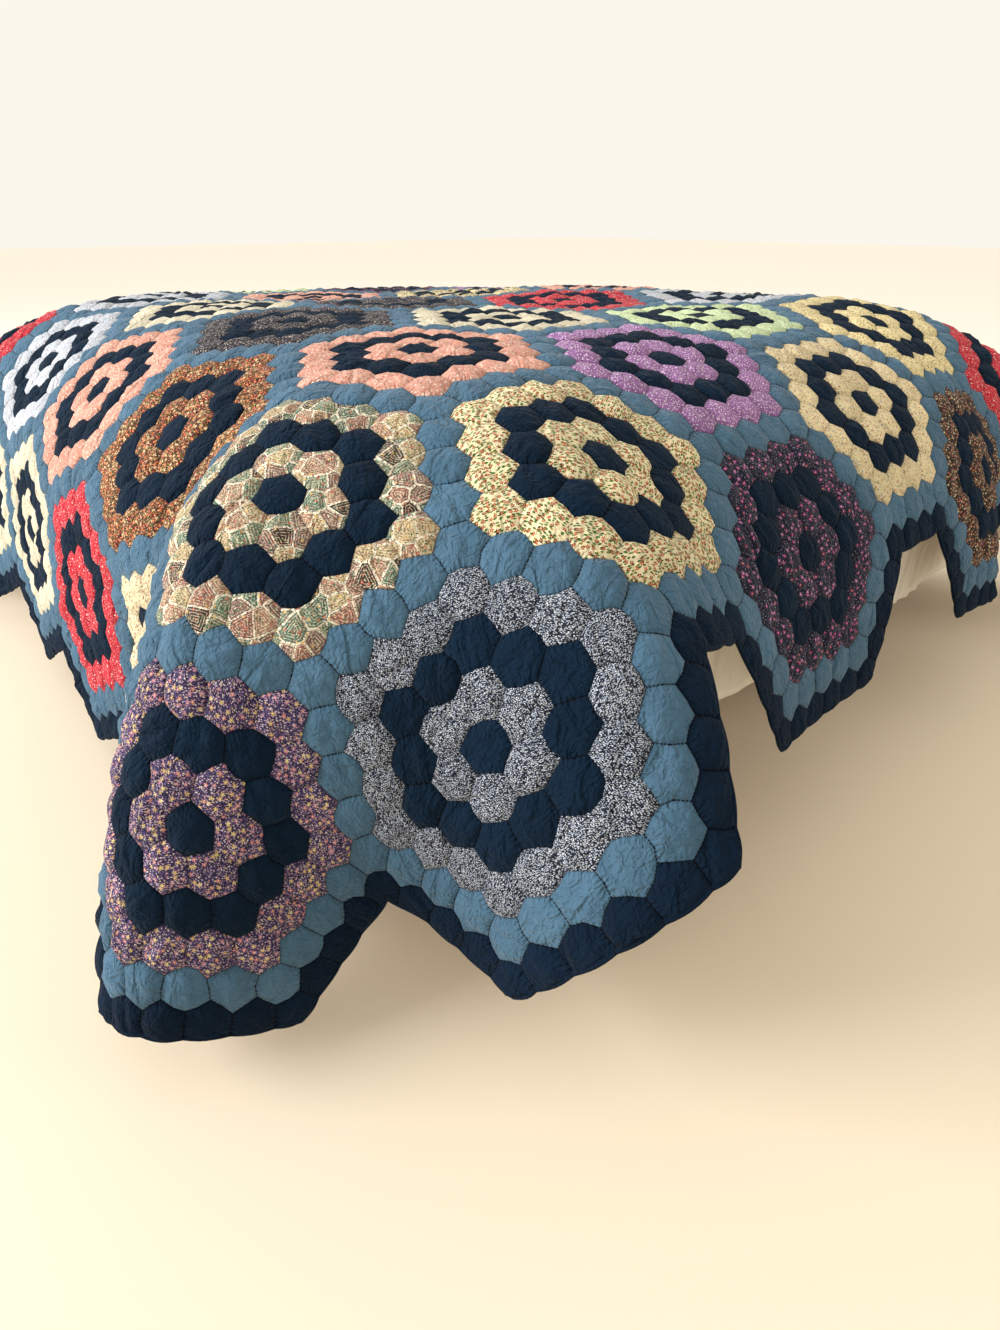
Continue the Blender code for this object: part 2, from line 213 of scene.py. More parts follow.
# The prints of the rosettes, line by line from -X, and in each line from -Y
printChart = (
    "plum creamDots coral creamPlain creamPlain peach",
    "sprig paisley orangeFloral peach paleGrey coral navyRose",
    "creamBerry peach charcoal creamPlain paleGrey orangeFloral",
    "navyRose orchid creamPlain charcoal peach mint plum",
    "creamPeach mint coral creamBerry navyRose creamDots",
    "brown creamGold paleGrey peach orchid creamPeach charcoal",
    "coral creamPlain paisley brown creamGold plum",
    "orchid creamPeach orangeFloral sprig creamBerry peach mint",
)


def layOutPatches():
    # Past the outermost patches one more ring is kept: they are cut towards it and turned under
    cells = {}
    for line, names in enumerate(printChart):
        prints = names.split()
        centreX = (line - (drape["lines"] - 1) / 2) * 6 * drape["patchWidth"]
        for place, printName in enumerate(prints):
            centreY = (place - (len(prints) - 1) / 2) * 8 * rowRise
            base = (round(centreX / drape["patchWidth"] * 2), round(centreY / rowRise))
            for a in range(-6, 7):
                for b in range(-6, 7):
                    ring = max(abs(a), abs(b), abs(a + b))
                    key = (base[0] + 2 * a + b, base[1] + b)
                    if ring <= 6 and ring < cells.get(key, (9, ""))[0]:
                        cells[key] = (ring, printName)
    keys = sorted(cells)
    flat = np.array([(i * drape["patchWidth"] / 2, j * rowRise) for i, j in keys])
    byRing = {0: "navy", 2: "navy", 4: "lightBlue", 5: "hemNavy", 6: "spare"}
    fabrics = np.array([byRing.get(cells[key][0], cells[key][1]) for key in keys])
    return keys, flat, fabrics


aroundPatch = ((2, 0), (1, 1), (-1, 1), (-2, 0), (-1, -1), (1, -1))
sideWay = np.array([(math.cos(math.pi / 3 * d), math.sin(math.pi / 3 * d)) for d in range(6)])
keys, flat, fabrics = layOutPatches()
number = {key: n for n, key in enumerate(keys)}
neighbours = np.array([[number.get((i + di, j + dj), -1) for di, dj in aroundPatch] for i, j in keys])
spare = fabrics == "spare"
own = np.arange(len(keys))
links = np.vstack([np.c_[own, neighbours[:, d]][neighbours[:, d] >= 0] for d in range(3)])
straights = np.vstack([np.c_[neighbours[:, d + 3], own, neighbours[:, d]][
    (neighbours[:, d] >= 0) & (neighbours[:, d + 3] >= 0)] for d in range(3)])
cells = np.vstack([np.c_[own, neighbours[:, d], neighbours[:, d + 1]][
    (neighbours[:, d] >= 0) & (neighbours[:, d + 1] >= 0)] for d in (0, 1)])
cells = cells[~spare[cells].all(1)]
coarse = coarseDrape(flat[:, 0], flat[:, 1])
shift = bringToLength(coarse.copy(), flat, links, straights) - coarse
total, count = shift.copy(), np.ones((len(shift), 1))
for here, there in ((0, 1), (1, 0)):  # evened out, so that no row of patches stands proud
    np.add.at(total, links[:, here], shift[links[:, there]])
    np.add.at(count, links[:, here], 1)
shift = total / count
surface = coarse + shift


def hemPlaces():
    # Flat places of the hem's corners: a third of a row past the outermost patches' centres
    places = flat.copy()
    for n in np.flatnonzero(spare):
        patches = [m for m in neighbours[n] if m >= 0 and not spare[m]]
        if len(patches) > 2:  # in a notch, only the innermost patch counts
            middle = flat[patches].mean(0)
            patches = [min(patches, key=lambda m: np.linalg.norm(flat[m] - middle))]
        places[n] = (2 * flat[patches].mean(0) + flat[n]) / 3
    return places


hemFlat = hemPlaces()
hemSpan = [float(v) for v in hemFlat[np.unique(cells)].max(0) - hemFlat[np.unique(cells)].min(0)]


def pointNormals(points, triangles):
    a, b, c = (points[triangles[:, k]] for k in range(3))
    faceNormals = np.cross(b - a, c - a)
    normals = np.zeros_like(points)
    for k in range(3):
        np.add.at(normals, triangles[:, k], faceNormals)
    return normals / np.linalg.norm(normals, axis=1)[:, None]


clothNormals = pointNormals(surface, cells)


def onCloth(home, local):
    # A point of the cloth from its patch and its flat place in it: where it lies, and its normal
    angle = np.degrees(np.arctan2(local[:, 1], local[:, 0])) % 360
    side = np.minimum(angle // 60, 5).astype(int)
    after = (side + 1) % 6
    step = local / drape["patchWidth"] / math.sin(math.pi / 3)
    share = np.c_[step[:, 0] * sideWay[after, 1] - step[:, 1] * sideWay[after, 0],
                  step[:, 1] * sideWay[side, 0] - step[:, 0] * sideWay[side, 1]]
    first, second = neighbours[home, side], neighbours[home, after]
    place = flat[home] + local

    def blend(values):
        return (values[home] * (1 - share.sum(1))[:, None] + values[first] * share[:, :1]
                + values[second] * share[:, 1:])
    normal = blend(clothNormals)
    normal = normal / np.linalg.norm(normal, axis=1)[:, None]
    return coarseDrape(place[:, 0], place[:, 1]) + blend(shift), normal


def toLinear(code):
    channels = [int(code[k:k + 2], 16) / 255 for k in (1, 3, 5)]
    return (*[c / 12.92 if c <= 0.04045 else ((c + 0.055) / 1.055) ** 2.4 for c in channels], 1)


def addNode(tree, kind, settings=None, inputs=None, links=None):
    node = tree.nodes.new(kind)
    for name, value in (settings or {}).items():
        setattr(node, name, value)
    for name, value in (inputs or {}).items():
        node.inputs[name].default_value = value
    for name, source in (links or {}).items():
        tree.links.new(source, node.inputs[name])
    return node


def math2(tree, operation, first, second=None, third=None):
    node = addNode(tree, "ShaderNodeMath", {"operation": operation})
    for slot, value in enumerate((first, second, third)):
        if value is None:
            continue
        if isinstance(value, (int, float)):
            node.inputs[slot].default_value = value
        else:
            tree.links.new(value, node.inputs[slot])
    return node.outputs[0]


def mixColour(tree, share, first, second, blend="MIX"):
    node = addNode(tree, "ShaderNodeMix", {"data_type": "RGBA", "blend_type": blend})
    for slot, value in ((0, share), (6, first), (7, second)):
        if isinstance(value, (int, float, tuple)):
            node.inputs[slot].default_value = value
        else:
            tree.links.new(value, node.inputs[slot])
    return node.outputs[2]


def startMaterial(name):
    material = bpy.data.materials.new(name)
    material.use_nodes = True
    return material, material.node_tree, material.node_tree.nodes["Principled BSDF"]


# The printed cottons. Motifs: kind, cell in mm, size as a share of the cell, petals, share of
# cells that hold one, seed, colours. They are drawn on the ground in order.
printFacts = {
    "sprig": ("#171c2c", (("leaf", 3.0, 0.32, 0, 0.58, 1, ("#ccd2da", "#a2adbe")),
                          ("leaf", 2.7, 0.30, 0, 0.50, 2, ("#d4d9df", "#96a2b5")),
                          ("leaf", 3.3, 0.32, 0, 0.44, 3, ("#d6dadf", "#aeb8c6")))),
    "plum": ("#2f2547", (("leaf", 3.2, 0.34, 0, 0.80, 4, ("#7a6391", "#4b3f6b", "#a27f9b")),
                         ("leaf", 3.6, 0.32, 0, 0.70, 5, ("#bfa6b8", "#5c5080", "#d3c3c2")),
                         ("flower", 9.0, 0.34, 5, 0.75, 6, ("#e3c98a", "#d3868c", "#dab585", "#c58ba5")),
                         ("dot", 4.6, 0.22, 0, 0.45, 7, ("#e3d3c6", "#d48f8d", "#d6b87c")))),
    "paisley": ("#43342a", (("shell", 24.0, 0.60, 0, 1.0, 8,
                             ("#5f806d", "#a56e60", "#44312a", "#c4ae80", "#8f7068", "#7d957a", "#b88f74")),
                            ("leaf", 4.2, 0.30, 0, 0.70, 9, ("#2f5a44", "#d9c69c", "#7a3d33", "#3a2a22")),
                            ("leaf", 3.6, 0.28, 0, 0.55, 10, ("#e8d9b2", "#3d6b57", "#c0655a")),
                            ("flower", 9.0, 0.24, 6, 0.45, 11, ("#c25a4e", "#e0b56a", "#3f6b5c")))),
    "creamBerry": ("#efe0b4", (("leaf", 6.4, 0.36, 0, 0.70, 12, ("#2c5c26", "#47742f")),
                               ("leaf", 7.4, 0.26, 0, 0.45, 13, ("#54803a", "#a88a3c")),
                               ("flower", 7.4, 0.36, 5, 0.80, 14, ("#a31813", "#b8301c", "#841519")))),
    "orangeFloral": ("#4e2f24", (("leaf", 4.2, 0.34, 0, 0.85, 15, ("#868643", "#c0934a", "#7c4a2c")),
                                 ("flower", 6.6, 0.40, 5, 0.90, 16, ("#dc6a42", "#bf3232", "#ebbf92")),
                                 ("dot", 3.6, 0.24, 0, 0.50, 17, ("#f3dcae", "#e89468")))),
    "peach": ("#dd9f8a", (("flower", 5.6, 0.30, 5, 0.75, 18, ("#f8e3d2", "#cf6f63", "#f6ead6")),
                          ("leaf", 4.4, 0.24, 0, 0.55, 19, ("#b9806a", "#f3cdb6")))),
    "orchid": ("#9a6aa0", (("dot", 4.4, 0.25, 0, 0.80, 20, ("#f3e6f1", "#e6c8e4")),
                           ("flower", 6.6, 0.26, 5, 0.45, 21, ("#f1e3f0", "#7d4a85")))),
    "navyRose": ("#11142a", (("leaf", 4.8, 0.28, 0, 0.60, 22, ("#303c58", "#483458", "#47546a")),
                             ("flower", 11.0, 0.30, 5, 0.80, 23, ("#b8408a", "#9c2c66", "#b96ca8")),
                             ("dot", 4.4, 0.16, 0, 0.50, 24, ("#c4c4d4", "#a68ab0")))),
    "creamPeach": ("#e9d6a9", (("flower", 8.0, 0.28, 5, 0.65, 25, ("#c9806a", "#7f8ca0", "#a8624c")),
                               ("leaf", 5.0, 0.26, 0, 0.60, 26, ("#6f7448", "#a08a5c")))),
    "creamGold": ("#eedca6", (("flower", 6.4, 0.30, 5, 0.75, 27, ("#4f3a2c", "#b5812f")),
                              ("dot", 4.0, 0.19, 0, 0.55, 28, ("#85632f", "#6f7248")))),
    "brown": ("#2f201d", (("flower", 6.6, 0.36, 5, 0.80, 29, ("#e0c79e", "#b07d5c", "#bf5b52")),
                          ("dot", 3.6, 0.21, 0, 0.60, 30, ("#d8bf98", "#7a5646")))),
    "coral": ("#c8283a", (("dot", 4.6, 0.20, 0, 0.60, 31, ("#f5d9cf", "#eb9a8e")),
                          ("flower", 8.0, 0.24, 5, 0.40, 32, ("#f8e5dc", "#e8807a")))),
    "creamDots": ("#e6d7b1", (("flower", 6.6, 0.30, 5, 0.75, 33, ("#b03a34", "#7d4b3a")),
                              ("dot", 4.0, 0.17, 0, 0.45, 34, ("#8d6f50", "#63784f")))),
    "creamPlain": ("#ddd3b8", (("flower", 8.0, 0.22, 5, 0.50, 35, ("#c9b48c", "#bd9a86")),)),
    "paleGrey": ("#c6cbd1", (("flower", 6.4, 0.30, 5, 0.70, 36, ("#8794a9", "#b88c98")),
                             ("dot", 4.0, 0.18, 0, 0.45, 37, ("#7f8ca0", "#b0b8c4")))),
    "charcoal": ("#2c282f", (("flower", 5.8, 0.32, 5, 0.75, 38, ("#bfb2a2", "#8b7c86")),
                             ("dot", 3.6, 0.19, 0, 0.50, 39, ("#d9d0c4", "#7d6f77")))),
    "mint": ("#cfdfb0", (("flower", 6.6, 0.28, 5, 0.65, 40, ("#f3f1cc", "#98b070")),
                         ("leaf", 4.8, 0.24, 0, 0.50, 41, ("#86a567", "#b5c68c")))),
}


# How motifs are drawn: sharpness of an edge and of a flower's heart, and the cream lines of shells
motifLook = {"edge": 14.0, "heartEdge": 18.0, "heart": "#e8cf86", "arcs": 8.0, "arcWidth": 0.22,
             "arc": "#f3e6c8", "outlineWidth": 0.045, "outline": "#f6ebd2"}


def drawMotif(tree, colour, cloth, facts):
    kind, cell, size, petals, share, seed, palette = facts
    stretch = 2.0 if kind == "leaf" else 1.0
    placed = addNode(tree, "ShaderNodeMapping", {}, {
        "Location": (seed * 3.7, seed * 5.3, 0), "Rotation": (0, 0, seed * 0.9),
        "Scale": (1000 / cell * stretch, 1000 / cell, 1)}, {"Vector": cloth})
    grid = addNode(tree, "ShaderNodeTexVoronoi", {"voronoi_dimensions": "2D"},
                   {"Scale": 1.0, "Randomness": 0.75}, {"Vector": placed.outputs[0]})
    chance = addNode(tree, "ShaderNodeSeparateColor", {}, {}, {"Color": grid.outputs["Color"]})
    radius = grid.outputs["Distance"]
    edge = size
    if petals:
        fromMiddle = addNode(tree, "ShaderNodeVectorMath", {"operation": "SUBTRACT"})
        tree.links.new(placed.outputs[0], fromMiddle.inputs[0])
        tree.links.new(grid.outputs["Position"], fromMiddle.inputs[1])
        sides = addNode(tree, "ShaderNodeSeparateXYZ", {}, {}, {"Vector": fromMiddle.outputs[0]})
        angle = math2(tree, "ARCTAN2", sides.outputs[1], sides.outputs[0])
        turn = math2(tree, "MULTIPLY_ADD", chance.outputs[2], 6.28, math2(tree, "MULTIPLY", angle, petals))
        edge = math2(tree, "MULTIPLY_ADD", math2(tree, "COSINE", turn), size * 0.28, size * 0.80)
    inside = math2(tree, "MULTIPLY", math2(tree, "SUBTRACT", edge, radius), motifLook["edge"])
    held = math2(tree, "GREATER_THAN", chance.outputs[0], 1 - share)
    mask = addNode(tree, "ShaderNodeClamp", {}, {}, {"Value": math2(tree, "MULTIPLY", inside, held)})
    ramp = addNode(tree, "ShaderNodeValToRGB")
    ramp.color_ramp.interpolation = "CONSTANT"
    bands = ramp.color_ramp.elements
    while len(bands) < len(palette):
        bands.new(0.5)
    for k, code in enumerate(palette):
        bands[k].position = k / len(palette)
        bands[k].color = toLinear(code)
    tree.links.new(chance.outputs[1], ramp.inputs[0])
    if kind == "shell":  # each cell filled with its own colour, lined with arcs, outlined in cream
        edgeDistance = addNode(tree, "ShaderNodeTexVoronoi", {
            "voronoi_dimensions": "2D", "feature": "DISTANCE_TO_EDGE"},
            {"Scale": 1.0, "Randomness": 0.75}, {"Vector": placed.outputs[0]}).outputs["Distance"]
        arcs = math2(tree, "FRACT", math2(tree, "MULTIPLY_ADD", edgeDistance, motifLook["arcs"],
                                          chance.outputs[2]))
        arcs = math2(tree, "MULTIPLY", math2(tree, "LESS_THAN", arcs, motifLook["arcWidth"]), 0.75)
        filled = mixColour(tree, 0.86, colour, ramp.outputs[0])
        filled = mixColour(tree, arcs, filled, toLinear(motifLook["arc"]))
        outline = math2(tree, "LESS_THAN", edgeDistance, motifLook["outlineWidth"])
        return mixColour(tree, outline, filled, toLinear(motifLook["outline"]))
    drawn = mixColour(tree, mask.outputs[0], colour, ramp.outputs[0])
    if kind == "flower" and cell > 6:
        nearHeart = math2(tree, "MULTIPLY", math2(tree, "SUBTRACT", size * 0.30, radius),
                          motifLook["heartEdge"])
        heart = addNode(tree, "ShaderNodeClamp", {}, {}, {
            "Value": math2(tree, "MULTIPLY", nearHeart, held)})
        drawn = mixColour(tree, heart.outputs[0], drawn, toLinear(motifLook["heart"]))
    return drawn


# Patch cotton: creases, painted shade darkening each seam valley, and the hand stitches over the seams,
# in mm. The depths are shares of the crease's own depth.
cottonFacts = {"creaseMm": 23, "rumpleMm": 10, "grainMm": 1.4, "puckerMm": 6.5, "seamShadeMm": 1.1,
               "stitchMm": 3.6, "stitchShare": 0.62, "stitchWidthMm": 0.9, "threadAndSeamShade": "#070b14",
               "fadeMm": 45, "reliefMm": 12, "rumpleDepth": 0.52, "grainDepth": 0.04,
               "foldDepth": 0.10, "puckerDepth": 0.065, "puckerReachMm": 10,
               "darkest": 0.89, "tintSpread": 0.22, "roughness": 0.88}


def patchCotton(name, ground, worn, motifs=(), wear=0.5, seamPaintedShade=0.5, sheen=0.10, depth=1.0):
    # Washed quilting cotton, woven and printed: matt, faintly uneven colour, soft creases, painted shade
    # along the seams
    material, tree, shader = startMaterial(name)
    cloth = addNode(tree, "ShaderNodeUVMap", {"uv_map": "cloth"}).outputs[0]
    tint = addNode(tree, "ShaderNodeAttribute", {"attribute_name": "tint"}).outputs["Fac"]
    toSeam = addNode(tree, "ShaderNodeAttribute", {"attribute_name": "toSeam"}).outputs["Fac"]
    along = addNode(tree, "ShaderNodeAttribute", {"attribute_name": "alongSeam"}).outputs["Fac"]
    seamShow = addNode(tree, "ShaderNodeAttribute", {"attribute_name": "seamShow"}).outputs["Fac"]
    colour = toLinear(ground)
    for motif in motifs:
        colour = drawMotif(tree, colour, cloth, motif)
    fade = addNode(tree, "ShaderNodeTexNoise", {}, {
        "Scale": 1000 / cottonFacts["fadeMm"], "Detail": 3.0}, {"Vector": cloth})
    paler = math2(tree, "MULTIPLY", fade.outputs["Fac"], wear)
    colour = mixColour(tree, paler, colour, toLinear(worn))
    bright = addNode(tree, "ShaderNodeHueSaturation", {}, {}, {
        "Color": colour, "Value": math2(tree, "MULTIPLY_ADD", tint, cottonFacts["tintSpread"] * depth,
                                        cottonFacts["darkest"] * depth)})
    # Painted shade: close to each seam the colour is darkened towards the stitch colour, scaled by
    # seamShow, in place of the seam valley's shade
    paintedSeamShade = addNode(tree, "ShaderNodeMapRange", {}, {
        "From Min": 0.0, "From Max": cottonFacts["seamShadeMm"] / 1000, "To Min": seamPaintedShade, "To Max": 0.0},
        {"Value": toSeam}).outputs[0]
    colour = mixColour(tree, math2(tree, "MULTIPLY", paintedSeamShade, seamShow), bright.outputs[0],
                       toLinear(cottonFacts["threadAndSeamShade"]))
    dash = math2(tree, "LESS_THAN", math2(tree, "FRACT", math2(
        tree, "MULTIPLY", along, 1000 / cottonFacts["stitchMm"])), cottonFacts["stitchShare"])
    onLine = math2(tree, "LESS_THAN", toSeam, cottonFacts["stitchWidthMm"] / 1000)
    stitch = math2(tree, "MULTIPLY", math2(tree, "MULTIPLY", dash, onLine), seamShow)
    colour = mixColour(tree, stitch, colour, toLinear(cottonFacts["threadAndSeamShade"]))
    tree.links.new(colour, shader.inputs["Base Color"])
    shader.inputs["Roughness"].default_value = cottonFacts["roughness"]
    shader.inputs["Specular IOR Level"].default_value = 0.07
    shader.inputs["Sheen Weight"].default_value = sheen
    shader.inputs["Sheen Roughness"].default_value = 0.32
    longWise = addNode(tree, "ShaderNodeMapping", {}, {"Scale": (0.34, 1.0, 1.0)}, {"Vector": cloth})
    crease = addNode(tree, "ShaderNodeTexNoise", {}, {
        "Scale": 1000 / cottonFacts["creaseMm"], "Detail": 2.0, "Distortion": 0.5},
        {"Vector": longWise.outputs[0]})
    rumple = addNode(tree, "ShaderNodeTexNoise", {}, {
        "Scale": 1000 / cottonFacts["rumpleMm"], "Detail": 3.0, "Distortion": 1.2}, {"Vector": cloth})
    grain = addNode(tree, "ShaderNodeTexNoise", {}, {
        "Scale": 1000 / cottonFacts["grainMm"], "Detail": 1.0}, {"Vector": cloth})
    drawn = math2(tree, "COSINE", math2(tree, "MULTIPLY_ADD", along, 6283 / cottonFacts["puckerMm"],
                                        math2(tree, "MULTIPLY", crease.outputs["Fac"], 9.0)))
    nearSeam = addNode(tree, "ShaderNodeMapRange", {}, {
        "From Min": 0.0, "From Max": cottonFacts["puckerReachMm"] / 1000,
        "To Min": cottonFacts["puckerDepth"], "To Max": 0.0}, {"Value": toSeam}).outputs[0]
    offMiddle = math2(tree, "ABSOLUTE", math2(tree, "SUBTRACT", crease.outputs["Fac"], 0.5))
    fold = math2(tree, "MAXIMUM", math2(tree, "MULTIPLY_ADD", offMiddle, -8.0, 1.0), 0.0)
    height = math2(tree, "MULTIPLY_ADD", rumple.outputs["Fac"], cottonFacts["rumpleDepth"],
                   crease.outputs["Fac"])
    height = math2(tree, "MULTIPLY_ADD", grain.outputs["Fac"], cottonFacts["grainDepth"], height)
    height = math2(tree, "MULTIPLY_ADD", drawn, nearSeam, height)
    height = math2(tree, "MULTIPLY_ADD", fold, cottonFacts["foldDepth"], height)
    bump = addNode(tree, "ShaderNodeBump", {}, {
        "Strength": 1.0, "Distance": cottonFacts["reliefMm"] / 1000}, {"Height": height})
    tree.links.new(bump.outputs[0], shader.inputs["Normal"])
    return material


clothMaterials = {
    "navy": patchCotton("navy_woven_cotton", "#081726", "#11293e", sheen=0.03, seamPaintedShade=0.9),
    "lightBlue": patchCotton("light_blue_woven_cotton", "#3c5a6f", "#5f7d91", sheen=0.14, seamPaintedShade=0.35),
    "hemNavy": patchCotton("hem_navy_woven_cotton", "#081625", "#102539", sheen=0.02, seamPaintedShade=0.9),
}
for printName, (ground, motifs) in printFacts.items():
    clothMaterials[printName] = patchCotton(
        "printed_cotton_" + printName, ground, "#b9b3a8", motifs, wear=0.06, depth=0.80)
print("cottons made")


# How each patch stands up: rings from its middle to its seam, as share of its half width and puff
puff = {"heightMm": 5.4, "lift": 0.0010, "unevenness": 0.35, "tilt": 0.05, "foldMm": 2.2,
        "foldLengthsMm": (18, 34), "cornerDriftMm": 2.0, "seamDriftMm": 1.1, "backingMm": 2.6,
        "seed": 21}
ringShares = (0.0, 0.36, 0.68, 0.90, 1.0)
ringPuffs = (1.0, 0.93, 0.68, 0.30, -0.06)
hemPuffs = (1.0, 0.98, 0.92, 0.78, 0.40)  # towards the cut edge, which turns under


def patchTemplate():
    # Points of one patch: its middle, then twelve a ring, towards each side and each corner
    towards = np.zeros((49, 6))
    shares, steps, rings = np.zeros(49), np.full(49, -1), np.zeros(49, int)
    faces = [(0, 1 + step, 1 + (step + 1) % 12) for step in range(12)]
    for ring in range(1, 5):
        for step in range(12):
            n = 1 + (ring - 1) * 12 + step
            shares[n], steps[n], rings[n] = ringShares[ring], step, ring
            if step % 2:
                towards[n, step // 2] = towards[n, (step // 2 + 1) % 6] = 1 / 3
            else:
                towards[n, step // 2] = 1 / 2
            if ring < 4:
                after = 1 + (ring - 1) * 12 + (step + 1) % 12
                faces += [(n, n + 12, after + 12), (n, after + 12, after)]
    return towards, shares, steps, rings, np.array(faces)


def newMesh(name, points, faces, material, smooth=True):
    mesh = bpy.data.meshes.new(name)
    faceList = faces if isinstance(faces, list) else faces.tolist()
    mesh.from_pydata((points + np.r_[bedMiddle[:2], 0]).tolist(), [], faceList)
    mesh.materials.append(material)
    mesh.polygons.foreach_set("use_smooth", [smooth] * len(mesh.polygons))
    body = bpy.data.objects.new(name, mesh)
    bpy.context.scene.collection.objects.link(body)
    return body


def setUv(body, name, coordinates):
    # coordinates holds one pair for each vertex
    layer = body.data.uv_layers.new(name=name)
    corners = np.empty(len(body.data.loops), np.int32)
    body.data.loops.foreach_get("vertex_index", corners)
    layer.data.foreach_set("uv", coordinates[corners].astype(np.float32).ravel())


def setValues(body, name, values):
    attribute = body.data.attributes.new(name, "FLOAT", "POINT")
    attribute.data.foreach_set("value", values.astype(np.float32))


def seamDrift(random):
    # Each corner and each side's middle is a little off its true place, for both its patches alike
    corner, edge = {}, {}
    drift = np.zeros((len(keys), 12, 2))
    for n in np.flatnonzero(~spare):
        for d in range(6):
            pair = tuple(sorted((n, neighbours[n, d])))
            three = tuple(sorted((n, neighbours[n, d], neighbours[n, (d + 1) % 6])))
            if pair not in edge:
                edge[pair] = random.normal(0, puff["seamDriftMm"] / 1000, 2)
            if three not in corner:
                corner[three] = random.normal(0, puff["cornerDriftMm"] / 1000, 2)
            drift[n, 2 * d] = edge[pair]
            drift[n, 2 * d + 1] = corner[three]
    return np.clip(drift, -0.0035, 0.0035)


def seamStrength(n, other):
    # A seam's painted shade and its stitches show most within one plain cotton, and hardly at all within
    # one print
    pair = {str(fabrics[n]), str(fabrics[other])}
    if len(pair) == 1:
        return 1.0 if pair & {"lightBlue", "navy", "hemNavy"} else 0.10
    return 0.8 if pair == {"lightBlue", "hemNavy"} else 0.35


def seamStrengths():
    strengths = np.zeros((len(keys), 13))
    for n in np.flatnonzero(~spare):
        sides = [seamStrength(n, neighbours[n, d]) for d in range(6)]
        for d in range(6):
            strengths[n, 2 * d] = sides[d]
            strengths[n, 2 * d + 1] = (sides[d] + sides[(d + 1) % 6]) / 2
        strengths[n, 12] = sum(sides) / 6
    return strengths


def foldHeight(home, local, waves):
    # Two soft folds across each patch, running outward where the cloth hangs
    height = np.zeros(len(home))
    for way, phase, length, depth in waves:
        along = local[:, 0] * np.cos(way[home]) + local[:, 1] * np.sin(way[home])
        height += depth[home] * np.cos(along * 2 * math.pi / length[home] + phase[home])
    return height


def makePatches():
    towards, shares, steps, rings, faces = patchTemplate()
    random = np.random.default_rng(puff["seed"])
    drift = seamDrift(random)
    drift = np.concatenate([drift, np.zeros((len(keys), 1, 2))], axis=1)
    strengths = seamStrengths()
    size, patchCount = len(shares), len(keys)
    heights = puff["heightMm"] / 1000 * (1 + puff["unevenness"] * random.uniform(-1, 1, patchCount))
    tilts = random.uniform(-1, 1, (patchCount, 2)) * puff["tilt"]
    halfFlat = np.array([drape["halfFlatX"], drape["halfFlatY"]])
    fromMiddle = flat - np.clip(flat, -halfFlat, halfFlat)
    fall = np.arctan2(fromMiddle[:, 1], fromMiddle[:, 0]) + random.normal(0, 0.5, patchCount)
    hanging = np.hypot(fromMiddle[:, 0], fromMiddle[:, 1]) > 0.05
    turns = np.where(hanging, -fall, random.uniform(0, 2 * math.pi, patchCount))
    offsets = random.uniform(0, 3, (patchCount, 2))
    tints = random.uniform(0, 1, patchCount)
    foldLengths = [length / 1000 for length in puff["foldLengthsMm"]]
    waves = [(math.pi / 2 - turns + random.normal(0, 0.35, patchCount), random.uniform(0, 6.3, patchCount),
              random.uniform(*foldLengths, patchCount),
              random.uniform(0.3, 1, patchCount) * puff["foldMm"] / 1000) for _ in range(2)]
    made = []
    for fabric in sorted(set(fabrics) - {"spare"}):
        members = np.flatnonzero(fabrics == fabric)
        home = np.repeat(members, size)
        spot = np.tile(np.arange(size), len(members))
        outside = spare[neighbours[home]]
        beyond = (towards[spot] * outside).sum(1)
        cut = np.minimum(1, (1 / 3) / np.maximum(beyond, 1e-9))
        pull = towards[spot] * np.where(outside, cut[:, None], 1) * shares[spot][:, None]
        local = pull @ sideWay * drape["patchWidth"] + drift[home, steps[spot]] * shares[spot][:, None]
        points, normals = onCloth(home, local)
        toHem = np.clip((beyond - 1 / 3) * 12, 0, 1)
        profile = np.array(ringPuffs)[rings[spot]] * (1 - toHem) + np.array(hemPuffs)[rings[spot]] * toHem
        soft = 1 - shares[spot] ** 2
        rise = puff["lift"] + heights[home] * profile
        rise += ((tilts[home] * local).sum(1) + foldHeight(home, local, waves)) * soft
        points = points + normals * rise[:, None]
        allFaces = (np.arange(len(members))[:, None, None] * size + faces[None]).reshape(-1, 3)
        name = "patches_" + fabric
        body = newMesh(name, points, allFaces, clothMaterials[fabric])
        turn = turns[home]
        turned = np.c_[local[:, 0] * np.cos(turn) - local[:, 1] * np.sin(turn),
                       local[:, 0] * np.sin(turn) + local[:, 1] * np.cos(turn)]
        setUv(body, "cloth", turned + offsets[home])
        across = math.ceil(math.sqrt(len(members)))
        order = np.repeat(np.arange(len(members)), size)
        cell = np.c_[order % across, order // across]
        setUv(body, "OFBake", (cell + local / (drape["patchWidth"] * 1.34) + 0.5) / across)
        body.data.uv_layers["cloth"].active_render = True
        # toSeam is the distance to the seam, which places the painted seam shade and the stitches; at the
        # hem it is pushed past their reach
        setValues(body, "toSeam", (1 - shares[spot]) * drape["patchWidth"] / 2 + toHem * 0.02)
        alongStep = np.where(steps[spot] % 2 == 1, shares[spot] * drape["patchWidth"] / math.sqrt(12), 0)
        setValues(body, "alongSeam", alongStep)
        setValues(body, "seamShow", strengths[home, steps[spot]])
        setValues(body, "tint", tints[home])
        made.append(body)
        print(name, len(members), "patches", len(allFaces), "triangles")
    return made


patches = makePatches()


